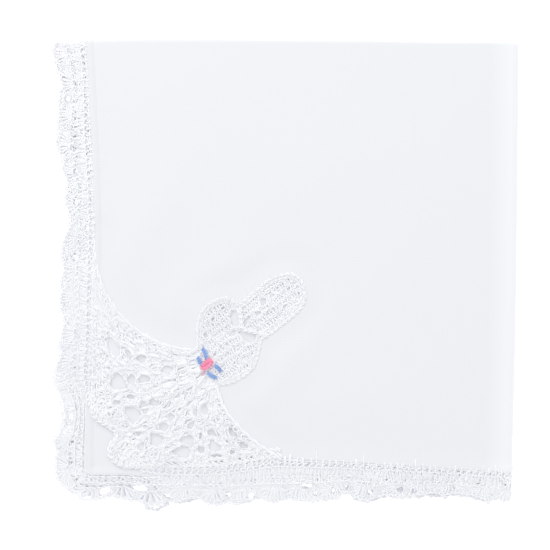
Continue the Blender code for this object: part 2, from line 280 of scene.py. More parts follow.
def linenMaterial():
    # Linen lawn, plain weave, pressed: matt, with faint thicker threads both ways, and a painted highlight
    # along the side fold
    look = linenLook
    made, tree, shader = newMaterial("linen lawn, plain weave, pressed", {
        "Base Color": linear(look["colour"]), "Roughness": look["roughness"],
        "Sheen Weight": look["sheen"]})
    weave = addNode(tree, "Attribute", {"attribute_name": "flatPattern"}).outputs["Vector"]    # in mm
    heights = []
    for turn in (0, pi / 2):
        placed = addNode(tree, "Mapping", {"Rotation": (0, 0, turn)}, {"Vector": weave})
        thread = addNode(tree, "TexWave",
                         {"Scale": pi / 10 / look["threadPitch"], "Distortion": look["uneven"],
                          "Detail": 1.0, "Detail Scale": 0.6}, {"Vector": placed.outputs["Vector"]})
        stretch = (1 / look["slubWide"], 1 / look["slubLength"], 1)
        drawn = addNode(tree, "Mapping", {"Rotation": (0, 0, turn), "Scale": stretch}, {"Vector": weave})
        slub = addNode(tree, "TexNoise", {"Scale": 1.0, "Detail": 2.0},
                       {"Vector": drawn.outputs["Vector"]})
        heights.append(addNode(tree, "Math", {"operation": "ADD"},
                               {0: thread.outputs["Fac"], 1: slub.outputs["Fac"]}).outputs[0])
    both = addNode(tree, "Math", {"operation": "ADD"}, {0: heights[0], 1: heights[1]}).outputs[0]
    bump = addNode(tree, "Bump", {"Strength": look["bump"], "Distance": look["relief"] * mm},
                   {"Height": both})
    mean = addNode(tree, "Math", {"operation": "MULTIPLY", 1: 0.25}, {0: both}).outputs[0]
    tint = addNode(tree, "ValToRGB", (), {"Fac": mean})
    for stop, place, colour in zip(tint.color_ramp.elements, look["tintRamp"], ("threadTint", "colour")):
        stop.position = place
        stop.color = linear(look[colour])
    # Painted highlight: pressed is the share of the lighter fold colour painted in near the side fold
    across = addNode(tree, "SeparateXYZ", (), {"Vector": weave}).outputs["X"]
    fromFold = addNode(tree, "Math", {"operation": "ABSOLUTE"}, {0: across}).outputs[0]
    near, far = look["foldHighlightWide"]
    pressed = addNode(tree, "MapRange", {"From Min": far, "From Max": near},
                      {"Value": fromFold}).outputs["Result"]
    paintedFoldLight = addNode(tree, "Mix", {"data_type": "RGBA", 7: linear(look["foldHighlightColour"])},
                    {0: pressed, 6: tint.outputs["Color"]})
    tree.links.new(paintedFoldLight.outputs[2], shader.inputs["Base Color"])
    tree.links.new(bump.outputs["Normal"], shader.inputs["Normal"])
    return made


threadLook = {"toneSize": 7.0, "tintRamp": (0.12, 0.34), "bump": 0.5, "hairs": 0.04, "glowDepth": 0.6}


def threadMaterial(name, colour, shade, roughness, sheen, grain, glow=0.0):
    # Cotton thread: soft, with a slight sheen, and small hairs and plies that break up the light
    made, tree, shader = newMaterial(name, {
        "Base Color": linear(colour), "Roughness": roughness, "Sheen Weight": sheen,
        "Subsurface Weight": glow, "Subsurface Radius": (1.0, 1.0, 1.0),
        "Subsurface Scale": threadLook["glowDepth"] * mm})
    place = addNode(tree, "TexCoord").outputs["Object"]
    plies = addNode(tree, "TexNoise", {"Scale": 1 / (grain * mm), "Detail": 3.0, "Roughness": 0.6},
                    {"Vector": place})
    tone = addNode(tree, "TexNoise", {"Scale": 1 / (threadLook["toneSize"] * mm), "Detail": 2.0},
                   {"Vector": place})
    mixed = addNode(tree, "Math", {"operation": "MULTIPLY"},
                    {0: plies.outputs["Fac"], 1: tone.outputs["Fac"]})
    tint = addNode(tree, "ValToRGB", (), {"Fac": mixed.outputs[0]})
    for stop, position, colour in zip(tint.color_ramp.elements, threadLook["tintRamp"], (shade, colour)):
        stop.position = position
        stop.color = linear(colour)
    bump = addNode(tree, "Bump", {"Strength": threadLook["bump"], "Distance": threadLook["hairs"] * mm},
                   {"Height": plies.outputs["Fac"]})
    tree.links.new(tint.outputs["Color"], shader.inputs["Base Color"])
    tree.links.new(bump.outputs["Normal"], shader.inputs["Normal"])
    return made


linenCloth = linenMaterial()
crochetCotton = threadMaterial("mercerised crochet cotton, white", "fbfcff", "f1f3f9", 0.75, 0.15, 0.35,
                               0.4)
pinkFloss = threadMaterial("stranded cotton floss, pink", "ff6b9a", "c02c5c", 0.55, 0.4, 0.18)
blueFloss = threadMaterial("stranded cotton floss, blue", "6394e8", "24458c", 0.55, 0.4, 0.18)
stemFloss = threadMaterial("stranded cotton floss, dusky", "c88a9a", "955a6a", 0.6, 0.3, 0.18)
print("materials: linen, crochet cotton and floss")


# Threads: every strand is a line of s, t, height points with its own thickness

def runOf(path):
    # distance along a line to each of its points
    return np.concatenate(([0.0], np.cumsum(np.linalg.norm(np.diff(path[:, :2], axis=0), axis=1))))


def frameOf(path):
    # that distance, and the direction to the line's left
    step = np.gradient(path[:, :2], axis=0)
    size = np.linalg.norm(step, axis=1)
    size[size == 0] = 1e-9
    return runOf(path), np.stack((-step[:, 1], step[:, 0]), axis=-1) / size[:, None]


def along(path, run, side, distance, across, up):
    # points beside a line: so far along it, across to its left and up
    base = [np.interp(distance, run, path[:, k]) for k in (0, 1)]
    lean = [np.interp(distance, run, side[:, k]) for k in (0, 1)]
    height = np.interp(distance, run, path[:, 2]) if path.shape[1] > 2 else 0.0
    return np.stack((base[0] + lean[0] * across, base[1] + lean[1] * across, height + up), axis=-1)


ropeStitch = {"steps": 4.2, "flatten": 0.8}
chainStitch = {"along": (0.0, 0.5, 1.12, 1.12, 0.5, 0.1),
               "across": (0.0, 1.0, 0.4, -0.4, -1.0, -0.1),
               "up": (-0.8, 0.1, 0.8, 0.8, 0.1, -0.6), "rise": 0.3}
# how an opening's edge waves, how far the threads stand off it, and how far one may stretch
opening = {"waves": (0.16, 0.08), "rim": 1.1, "hardRim": 1.12, "squeeze": 0.1, "stretch": 1.8}


def rope(path, spread, pitch, thread, plies=2, phase=0.0):
    # a column of twisted thread, as the post of a treble stitch
    path = np.asarray(path, float)
    run, side = frameOf(path)
    count = max(3, round(run[-1] / pitch * ropeStitch["steps"]) + 1)
    distance = np.linspace(0, run[-1], count)
    strands = []
    for ply in range(plies):
        angle = phase + 2 * pi * (ply / plies + distance / pitch)
        strands.append((along(path, run, side, distance, spread * np.cos(angle),
                              spread * ropeStitch["flatten"] * np.sin(angle)), thread))
    return strands


def chain(path, width, pitch, thread):
    # chain stitch: each loop comes up through the one before
    path = np.asarray(path, float)
    run, side = frameOf(path)
    count = max(1, round(run[-1] / pitch))
    pitch = run[-1] / count
    distance = (np.arange(count)[:, None] + chainStitch["along"]).ravel() * pitch
    across = np.tile(chainStitch["across"], count) * width / 2
    up = np.tile(chainStitch["up"], count) * width * chainStitch["rise"]
    return [(along(path, run, side, np.clip(distance, 0, run[-1]), across, up), thread)]


def picot(middle, radius, thread, turn, height=0.0):
    # a small ring of chain at the tip of a scallop
    angle = turn + np.linspace(0, 2 * pi, 9)
    return [(np.stack((middle[0] + radius * np.cos(angle), middle[1] + radius * np.sin(angle),
                       height + 0.15 * np.sin(angle * 2)), axis=-1), thread)]


def openUp(strands, openings, ring=2.2, gap=1.7):
    # parts the threads round each opening, and drops what would cross it
    points = np.concatenate([line for line, _ in strands])
    rim, hardRim, waves = opening["rim"], opening["hardRim"], opening["waves"]
    for hard in (False, True):
        for row in openings:
            u, v = inOval(row, points[:, 0], points[:, 1])
            around = np.arctan2(v, u)
            lobes = row["left"] * 7 + row["down"] * 3
            uneven = 1 + waves[0] * np.cos(3 * around + lobes) + waves[1] * np.cos(4 * around + 2 * lobes)
            far = np.hypot(u, v) / uneven + 1e-6
            outer = 1 + ring / sqrt(row["long"] * row["wide"])
            if hard:
                new = np.where(far < hardRim, hardRim + opening["squeeze"] * far, far)
            else:
                new = np.where(far < outer, rim + far * (outer - rim) / outer, far)
            u, v = u * new / far * row["long"], v * new / far * row["wide"]
            turn = radians(row["turn"])
            points[:, 0] = u * cos(turn) - v * sin(turn) - row["left"]
            points[:, 1] = u * sin(turn) + v * cos(turn) - row["down"]
    kept, first = [], 0
    for line, thread in strands:
        moved = points[first:first + len(line)]
        first += len(line)
        before = np.linalg.norm(np.diff(line[:, :2], axis=0), axis=1)
        steps = np.linalg.norm(np.diff(moved[:, :2], axis=0), axis=1)
        breaks = np.flatnonzero((steps > gap) & (steps > before * opening["stretch"])) + 1
        kept += [(piece, thread) for piece in np.split(moved, breaks) if len(piece) > 2]
    return kept


def addObject(name, data):
    made = bpy.data.objects.new(name, data)
    scene.collection.objects.link(made)
    return made


def finishedMesh(made):
    return bpy.data.meshes.new_from_object(made.evaluated_get(bpy.context.evaluated_depsgraph_get()))


def dress(made, look):
    made.data.name = made.name
    made.data.shade_smooth()
    made.data.materials.clear()
    made.data.materials.append(look)
    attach(made, "root")


def shapeObject(name, shape):
    mesh = bpy.data.meshes.new(name)
    shape.to_mesh(mesh)
    shape.free()
    return addObject(name, mesh)


def makeThreads(name, strands, look, bevel=0):
    # one curve with a spline for each strand, folded into place and made a mesh
    curve = bpy.data.curves.new(name, "CURVE")
    curve.dimensions = "3D"
    curve.bevel_depth = mm
    curve.bevel_resolution = bevel
    curve.use_fill_caps = True
    for points, thread in strands:
        spline = curve.splines.new("POLY")
        spline.points.add(len(points) - 1)
        placed = np.concatenate((foldUp(points), np.ones((len(points), 1))), axis=1)
        spline.points.foreach_set("co", placed.ravel())
        spline.points.foreach_set("radius", np.full(len(points), thread))
    drawn = addObject(name, curve)
    mesh = finishedMesh(drawn)
    bpy.data.objects.remove(drawn)
    made = addObject(name, mesh)
    dress(made, look)
    print(f"{name}: {len(strands)} strands, {sum(len(p.vertices) - 2 for p in mesh.polygons)} triangles")
    return made


# The linen square

linenSheet = {
    "cells": 112, "thick": 0.36, "hemThick": 0.95, "hemWide": 1.9, "hemStep": 0.35,
    "sideFacets": 6, "topFacets": 4,
    "turnIn": 1.0,                        # how far the linen reaches in under the flower's cord
    "valley": 0.55, "valleyAt": 4.2, "valleyReach": 2.8,     # a shallow dip all along the cut corner
    "pucker": 0.10, "puckerPitch": 5.6, "puckerReach": 7.0,
    "crumple": 0.05, "crumpleSize": 34,
    "slantHem": 0.6, "slantStep": 1.6,    # the lower edge is cut at a slant, and its hem runs with the cut
}


def cutOutline():
    # everything that is cut off the corner of the linen: the scoops, the flower and all outside
    beyond = half + 4
    edge = flowerEdge()
    _, side = frameOf(edge)
    edge = edge - side * linenSheet["turnIn"] * np.sin(np.linspace(0, pi, len(edge)))[:, None] ** 0.3
    return np.vstack(((-beyond, -corner["scoopStart"]), leftScoop(), edge[1:-1], rightScoop(),
                      lowerHem()[1:], (3.0, -half), (3.0, -beyond), (-beyond, -beyond)))


def nearest(line, s, t):
    # how far each point is from a line
    return np.sqrt(((s[:, None] - line[:, 0]) ** 2 + (t[:, None] - line[:, 1]) ** 2).min(axis=1))


def makeSlab(name, shape, deep):
    # flat faces made a closed slab, so many mm up and down
    grown = bmesh.ops.extrude_face_region(shape, geom=shape.faces[:], use_keep_orig=True)
    raised = [v for v in grown["geom"] if isinstance(v, bmesh.types.BMVert)]
    bmesh.ops.translate(shape, verts=shape.verts[:], vec=(0, 0, -deep * mm))
    bmesh.ops.translate(shape, verts=raised, vec=(0, 0, 2 * deep * mm))
    bmesh.ops.recalc_face_normals(shape, faces=shape.faces[:])
    return shapeObject(name, shape)


def makeLinen():
    look, pitch = linenSheet, plan["layerPitch"]
    hem = half - look["hemWide"]
    cloth = bmesh.new()
    bmesh.ops.create_grid(cloth, x_segments=look["cells"], y_segments=look["cells"], size=half * mm)
    # cut along the hem, and in narrow strips along the folds so that they bend round
    side = [pi * pitch / 2 * k / look["sideFacets"] for k in range(look["sideFacets"] + 1)]
    top = [pi * pitch / 4 * k / look["topFacets"] for k in range(look["topFacets"] + 1)]
    for across, places in (((1, 0, 0), side), ((0, 1, 0), top)):
        for place in sorted({p * sign for p in (*places, hem, hem - look["hemStep"]) for sign in (-1, 1)}):
            bmesh.ops.bisect_plane(cloth, geom=cloth.verts[:] + cloth.edges[:] + cloth.faces[:], dist=1e-6,
                                   plane_co=Vector(across) * place * mm, plane_no=across)
    made = makeSlab("linen_cloth", cloth, 0.5)

    knife = bmesh.new()
    knife.faces.new([knife.verts.new((s * mm, t * mm, 0)) for s, t in cutOutline()])
    cutter = makeSlab("cutter", knife, 2)
    cut = made.modifiers.new("corner", "BOOLEAN")
    cut.operation = "DIFFERENCE"
    cut.object = cutter
    cut.solver = "EXACT"
    trimmed = finishedMesh(made)
    made.modifiers.clear()
    bpy.data.objects.remove(cutter)
    made.data = trimmed

    # from the flat square to the folded one, thick at the hem
    flatPlaces = np.empty(len(trimmed.vertices) * 3)
    trimmed.vertices.foreach_get("co", flatPlaces)
    s, t, z = flatPlaces.reshape(-1, 3).T / mm
    fromHem = half - np.maximum(np.abs(s), np.abs(t))
    onHem = np.clip(1 - (fromHem - look["hemWide"]) / look["hemStep"], 0, 1)
    fromSlant = nearest(lowerHem(), s, t) + 9 * ((s > 0) | (t > 0))
    fromSlant = (fromSlant - look["hemWide"] * look["slantHem"]) / look["slantStep"]
    onHem = np.maximum(onHem, ease(1 - fromSlant))
    thick = look["thick"] + (look["hemThick"] - look["thick"]) * onHem
    lift = look["crumple"] * wander(s, t, look["crumpleSize"], 3)
    # the hem puckers where the stitches draw it in
    fade = np.exp(-np.abs(fromHem - look["hemWide"]) / look["puckerReach"] * 2)
    run = np.where(np.abs(s) > np.abs(t), t, s)
    lift = lift + look["pucker"] * fade * np.sin(run * 2 * pi / look["puckerPitch"]
                                                 + 2 * wander(s, t, 40, 4))
    fromCut = nearest(np.vstack((leftScoop(), flowerEdge(), rightScoop())), s, t)
    offValley = (fromCut - look["valleyAt"]) / look["valleyReach"]
    lift = lift - look["valley"] * np.exp(-offValley ** 2) * (s < 0) * (t < 0)
    places = foldUp(np.stack((s, t, z * thick + lift), axis=-1))
    trimmed.vertices.foreach_set("co", places.ravel())
    pattern = trimmed.attributes.new("flatPattern", "FLOAT_VECTOR", "POINT")
    pattern.data.foreach_set("vector", np.stack((s, t, z), axis=-1).ravel())
    dress(made, linenCloth)
    trimmed.set_sharp_from_angle(angle=radians(50))
    trimmed.update()
    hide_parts("linen")
    print("linen:", sum(len(p.vertices) - 2 for p in trimmed.polygons), "triangles")
    return made


linen = makeLinen()


# The crochet edging, in rows outwards from the hem

edging = {
    "thread": 0.26, "post": 0.25, "twist": 1.7,
    "scallop": 9.6, "hemCord": 0.25, "innerChain": 1.15, "middleChain": 4.6,
    "ladderPitch": 2.1, "postPitch": 0.8, "shellPosts": 15, "chainWide": 1.6, "chainPitch": 2.0,
    "heightWave": 0.22, "wobble": 0.35, "picot": 0.62, "plump": 0.7,
    "ladderHeights": (0.25, 0.45, 0.5, 0.35, 0.1),
    # how far the ladder stitches reach in over the hem, and how many reach so far
    "bite": (-0.4, -0.9, -1.6), "biteShares": (0.7, 0.15, 0.15), "plainBite": -0.2,
    "lowPitch": 0.75, "lowBy": 0.45, "lowThick": 0.42,
    "waves": (9, 14), "waveDeep": 0.5, "taper": 0.2, "taperLong": 13, "underneath": 1.6,
    # how far the outer edge hangs down on the layers under it: the first layer, then the second
    "hang": (0.8, 0.4),
    # slots where the floor shows through every layer. Past slotless both ways, the top layer is the
    # fan and has none
    "slotless": 105,
    "slots": {"left": (130.0, 118.6, 109.5, 141.6, 140.4, 140.0, 140.4, 141.0, 65.0, 62.3, 57.0, 52.5,
                       45.3, 35.5, 31.1, 83.0, 90.3, 140.8),
              "down": (140.8, 139.9, 142.0, 17.9, 33.0, 40.2, 49.6, 67.2, 139.0, 141.6, 140.6, 139.4,
                       141.0, 140.3, 140.6, 142.0, 141.8, 117.5),
              "long": (1.9, 2.7, 1.3, 1.0, 1.1, 1.1, 1.3, 1.2, 1.9, 1.0, 1.1, 1.0, 1.2, 1.1, 1.0, 1.2,
                       1.1, 1.1),
              "wide": (0.9, 1.0, 0.8, 0.75, 0.8, 0.8, 0.75, 0.8, 0.8, 0.7, 0.75, 0.75, 0.75, 0.8, 0.75,
                       0.75, 0.75, 0.75),
              "turn": (20, -8, 0, 90, 80, 70, 90, 80, 5, 0, 20, 0, 10, 0, 0, 10, 0, 80)},
    # how far the lace reaches past the hem, by distance below the top fold and left of the side fold
    "sideDown": (0, 3.5, 7, 11, 13, 20, 26, 32, 35, 39, 43, 47, 52, 56, 62, 68, 71, 77, 81, 86, 90, 98,
                 101, 109, 111, 116, 122, 124, 126, 132, 137),
    "sideReach": (10.4, 11.4, 10.1, 9.1, 8.2, 9.8, 10.3, 11.4, 10.0, 9.4, 8.0, 9.2, 8.6, 7.7, 9.9, 10.6,
                  9.6, 10.7, 10.9, 7.9, 9.1, 9.1, 10.5, 10.5, 8.3, 7.2, 8.0, 9.8, 11.0, 10.2, 9.5),
    "lowLeft": (3, 7, 11, 15, 18, 22, 27, 34, 39, 43, 49, 52, 56, 62, 66, 69, 73, 79, 84, 90, 99, 103,
                109, 114, 118, 122, 126, 130, 135),
    "lowReach": (9.6, 9.8, 8.0, 8.3, 7.0, 8.6, 7.3, 9.2, 7.3, 9.2, 8.6, 6.7, 8.3, 9.8, 8.9, 8.6, 9.5,
                 8.3, 9.5, 10.5, 9.2, 8.6, 10.2, 11.1, 10.2, 8.3, 7.6, 8.0, 8.6),
}


def perimeter(side):
    # the hem of one side of the square, clockwise, with half of each rounded corner
    radius = plan["hemCorner"]
    turn = {"left": 180, "top": 90, "right": 0, "bottom": -90}[side]
    first, last = [np.array([heading(radians(turn + a)) for a in bend])
                   for bend in (np.linspace(45, 3, 6), -np.linspace(3, 45, 6))]
    out = heading(radians(turn))
    ahead = np.array((out[1], -out[0]))
    line = out * half + ahead * np.arange(-half + radius, half - radius + 0.3, 0.6)[:, None]
    start = out * (half - radius) - ahead * (half - radius)
    end = out * (half - radius) + ahead * (half - radius)
    base = np.vstack((start + radius * first, line, end + radius * last))
    normal = np.vstack((first, np.repeat(out[None], len(line), 0), last))
    if side == "left":
        keep = base[:, 1] > -corner["fanShoulder"]
        return base[keep], normal[keep]
    if side == "bottom":
        keep = base[:, 0] > 0
        foot = np.vstack((lowerHem(0.6)[::-1], fanFoot(0.6)[1:]))
        down = np.repeat([(0.0, -1.0)], len(foot), 0)
        return np.vstack((base[keep], foot)), np.vstack((normal[keep], down))
    return base, normal


def makeEdging(side, seed):
    look, dice = edging, np.random.default_rng(seed)
    thread, post, twist = look["thread"], look["post"], look["twist"]
    inner, outer = look["innerChain"], look["middleChain"]
    sparse = 1.0 if side in ("left", "bottom") else look["underneath"]
    base, normal = perimeter(side)
    run = runOf(base + normal * 4.5)
    long = run[-1]
    if side in ("left", "right"):
        reach = np.interp(np.abs(base[:, 1]), look["sideDown"], look["sideReach"]) + 0.5
    else:
        reach = np.interp(np.abs(base[:, 0]), look["lowLeft"], look["lowReach"]) + 0.2
    reach = reach - look["waveDeep"] * np.sin(run / dice.uniform(*look["waves"]) + dice.uniform(0, 6))
    # narrower where it runs in under the fan
    narrow = look["taper"]
    if side == "left":
        reach = reach * (narrow + (1 - narrow) * ease(run / look["taperLong"]))
    if side == "bottom":
        slanted = reach + half - np.abs(base[:, 1])
        reach = slanted * (narrow + (1 - narrow) * ease((long - run) / look["taperLong"]))
    strands = []

    def at(u, d, h=0.0):
        # u along the hem, d outwards on an edging 8.6 mm wide, h up
        u, d = np.broadcast_arrays(np.asarray(u, float), np.asarray(d, float))
        foot = np.stack([np.interp(u, run, base[:, k]) for k in (0, 1)], axis=-1)
        out = np.stack([np.interp(u, run, normal[:, k]) for k in (0, 1)], axis=-1)
        wide = np.interp(u, run, reach) / plan["laceWidth"]
        point = foot + out * (d * wide)[..., None]
        shift = look["wobble"] * np.minimum(np.abs(d) / 3, 1)
        s = point[..., 0] + shift * wander(point[..., 0], point[..., 1], 9, seed + 50)
        t = point[..., 1] + shift * wander(point[..., 0], point[..., 1], 9, seed + 60)
        up = h + look["heightWave"] * np.minimum(np.abs(d) / 4, 1) * wander(s, t, 11, seed + 70)
        hang = np.where(s < 0, np.where(t < 0, -look["hang"][0], look["hang"][1]), 0.0)
        return np.stack((s, t, up + hang * ease(d / 6)), axis=-1)

    def lowDown(u, d):
        # a plain thread low down, away from where the layer is seen, which closes a gap
        line = at(u, d)
        line[:, 2] += look["lowBy"] * np.clip(line[:, 1] / 3, -1, 1)
        strands.append((line, look["lowThick"]))

    # ladder stitches from the hem to the first chain, with their streaks on the hem
    for u in np.arange(0.5, long - 0.5, look["ladderPitch"]):
        u = u + dice.uniform(-0.4, 0.4)
        lean = dice.uniform(-0.5, 0.5)
        bite = look["plainBite"]
        if side == "bottom":
            bite = dice.choice(look["bite"], p=look["biteShares"])
        d = np.array((bite, bite + 0.1, -0.1, 0.5, inner))
        h = np.array(look["ladderHeights"])
        strands.append((at(u + lean * np.array((0, 0, 0.3, 0.6, 1)), d, h), post * 0.85))
        if dice.random() < 0.5:
            beside = u + 0.35 + lean * np.array((0, 0.1, 0.3, 0.5, 0.9))
            strands.append((at(beside, d * 0.9, h - 0.1), post * 0.8))
    # a cord against the hem, and rows of chain
    whole = np.arange(0, long, 0.8)
    strands += rope(at(whole, look["hemCord"]), 0.2, twist, thread)
    for d, wide, h in ((inner, 1.0, 0.0), (outer, 1.0, 0.0), (3.0, 0.8, -0.3)):
        strands += chain(at(whole, d, h), look["chainWide"] * wide, look["chainPitch"], thread)
    # a row of leaning posts between the chains
    for u in np.arange(0.3, long - 0.3, look["postPitch"] * sparse):
        u = u + dice.uniform(-0.3, 0.3)
        lean = dice.uniform(-1.6, 1.6)
        line = at(u + lean * np.linspace(0, 1, 6), np.linspace(inner + 0.2, outer - 0.1, 6))
        strands += rope(line, 0.17, twist, post, phase=dice.uniform(0, 6))
    for u in np.arange(0.6, long - 0.6, look["lowPitch"] * sparse):
        lowDown(u + dice.uniform(-1.2, 1.2) * np.linspace(-1, 1, 7), np.linspace(-0.1, 5.2, 7))
    # shells with a scalloped chain and picots on their tips
    count = round(long / look["scallop"])
    number = round(look["shellPosts"] / sparse)
    pitch, plump = long / count, look["plump"]
    for k in range(count):
        centre = (k + 0.5) * pitch + dice.uniform(-0.8, 0.8)
        wide = pitch * dice.uniform(0.52, 0.6)
        tall = (plan["laceWidth"] - look["picot"] * 1.2 - outer) * dice.uniform(0.88, 1.04)
        for angle in np.linspace(-88, 88, number) + dice.uniform(-3, 3, number):
            turn = radians(angle)
            out = np.linspace(0.06, 1, 6)
            u = centre + wide * sin(turn) * (0.34 + 0.66 * out)
            d = outer + tall * max(cos(turn), 0) ** plump * out
            line = at(u, d, 0.06 * sin(angle))
            strands += rope(line, 0.18, twist, post, phase=dice.uniform(0, 6))
            lowDown(u[1:] + 0.3, d[1:] * 0.98)
        turn = np.radians(np.linspace(-92, 92, 24))
        rim = outer + 0.1 + (tall + 0.15) * np.maximum(np.cos(turn), 0) ** plump
        strands += chain(at(centre + wide * np.sin(turn), rim), 0.95, 1.35, thread)
        for angle in (-54, -18, 18, 54):
            turn = radians(angle + dice.uniform(-8, 8))
            tip = at(centre + wide * sin(turn), outer + 0.45 + tall * cos(turn) ** plump)
            radius = look["picot"] * dice.uniform(0.75, 1.1)
            strands += picot(tip[:2], radius, thread * 0.9, dice.uniform(0, 6), tip[2])
    return strands


def slotsInLayers():
    # the same slots on each layer of the flat pattern, less what that layer strays
    found = []
    for layer, (sideways, upwards) in enumerate(((1, 1), (1, -1), (-1, -1), (-1, 1))):
        for row in rows(edging["slots"]):
            left, down = row["left"], row["down"]
            if layer == 0 and min(left, down) > edging["slotless"]:
                continue
            left = left - plan["strayLeft"][layer] * float(ease(row["down"] / half))
            down = down - plan["strayDown"][layer] * float(ease(row["left"] / half))
            found.append({**row, "left": sideways * left, "down": upwards * down,
                          "turn": sideways * upwards * row["turn"]})
    return found


for side, seed in (("left", 11), ("top", 12), ("right", 13), ("bottom", 14)):
    threads = openUp(makeEdging(side, seed), slotsInLayers(), 1.0, 1.3)
    makeThreads("edging_" + side, threads, crochetCotton)
    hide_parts("lace_edging")


# The fan of net crochet at the corner

fan = {
    "rows": 12, "thread": 0.28, "post": 0.29, "twist": 1.9, "unit": 4.3, "cluster": 5,
    "neckLines": 22, "lowLines": 44, "lowThick": 0.36,
    "cordPitch": 7.0, "edgeThread": 0.27, "edgePitch": 1.9,
    "scoopCords": ((1.3, 0.38, 0.25), (1.7, 0.42, 0.55)),      # left and right: chain's width, cord, height
    "borderRows": ((0.9, 1.9, 0.3), (2.7, 1.5, 0.15)),         # how far in, chain's width, height
    "chainWide": 1.1, "chainPitch": 1.6, "wobble": 0.5, "heightWave": 0.2,
    # the larger openings of the net: middle, half length and half width, and turn in degrees
    "openings": {
        "left": (127.5, 122.5, 125.6, 121.3, 117.4, 120.9, 117.2, 114.0, 108.7, 110.9, 113.4, 116.5,
                 119.0, 118.1, 102.1, 103.0, 105.2, 108.0, 95.8, 94.6, 99.2, 94.2, 95.8, 100.5, 88.6,
                 85.5, 84.2, 84.2, 77.6, 109.9, 109.9, 118.4, 106.5, 103.7, 102.4, 98.0, 100.9, 121.6,
                 126.0, 122.9, 109.9, 98.9, 103.9, 108.7, 89.2),
        "down": (95.5, 98.0, 106.5, 106.2, 105.5, 116.5, 114.4, 112.8, 117.5, 120.7, 124.1, 120.3, 122.8,
                 126.6, 120.0, 124.7, 128.5, 131.6, 122.2, 126.6, 127.5, 130.7, 133.2, 134.8, 121.9,
                 126.6, 130.7, 133.8, 136.4, 106.5, 102.4, 99.3, 110.6, 110.6, 113.1, 115.0, 116.2,
                 110.9, 112.5, 120.6, 114.0, 123.8, 131.6, 137.9, 128.5),
        "long": (2.9, 1.7, 2.3, 1.8, 1.3, 2.4, 2.1, 1.6, 1.3, 1.5, 1.9, 0.6, 0.9, 1.3, 1.3, 1.8, 2.4,
                 1.6, 1.2, 1.9, 0.9, 2.1, 1.4, 1.0, 1.7, 1.3, 2.4, 0.9, 0.8, 1.4, 1.3, 1.2, 1.0, 1.3,
                 1.0, 1.3, 0.8, 1.0, 0.8, 0.6, 0.5, 0.6, 0.7, 0.9, 0.7),
        "wide": (1.2, 0.6, 2.0, 0.9, 1.1, 1.8, 1.1, 0.8, 1.1, 1.2, 1.5, 0.6, 0.8, 0.8, 0.9, 1.4, 1.5,
                 0.9, 0.8, 1.2, 0.9, 1.2, 0.7, 0.6, 1.1, 0.8, 1.2, 0.8, 0.5, 1.0, 1.2, 1.0, 0.7, 0.8,
                 0.8, 0.8, 0.5, 0.6, 0.7, 0.6, 0.5, 0.6, 0.6, 0.7, 0.6),
        "turn": (-60, -66, -50, -65, 0, -55, -75, -20, -40, -35, -35, 0, -45, 60, -20, -20, -10, -10,
                 -20, -25, 30, -5, -20, -20, -40, -30, -25, 0, 0, -20, -40, -20, -60, -70, 40, -65, -60,
                 -10, 0, 0, 0, 0, 0, -50, 0),
    },
}


def outerEdge():
    return np.vstack((fanBorder(), fanFoot()[::-1][1:]))


def fanPlace(a, b):
    # a from the left scoop to the right one, b from the neck out to the border
    def even(line, share):
        run = runOf(line)
        return np.stack([np.interp(share, run / run[-1], line[:, k]) for k in (0, 1)], axis=-1)

    a, b = np.broadcast_arrays(np.asarray(a, float), np.asarray(b, float))
    left, right = leftScoop()[::-1], rightScoop()
    neck = np.array((flat(*corner["neckLeft"]), flat(*corner["neckRight"])))
    border = np.vstack((flat(half, corner["scoopStart"]), outerEdge()))
    a1, b1 = a[..., None], b[..., None]
    corners = (((1 - a1) * neck[0] + a1 * neck[1]) * (1 - b1)
               + ((1 - a1) * border[0] + a1 * border[-1]) * b1)
    return ((1 - a1) * even(left, b) + a1 * even(right, b)
            + (1 - b1) * even(neck, a) + b1 * even(border, a) - corners)


def shaken(line, wobble, heightWave, seed):
    # moved off its true place by long and short waves, as hand work is
    s, t = line[:, 0], line[:, 1]
    return np.stack((s + wobble * (wander(s, t, 8, seed) + 0.5 * wander(s, t, 3, seed + 3)),
                     t + wobble * (wander(s, t, 8, seed + 1) + 0.5 * wander(s, t, 3, seed + 4)),
                     line[:, 2] + heightWave * wander(s, t, 10, seed + 2)), axis=-1)


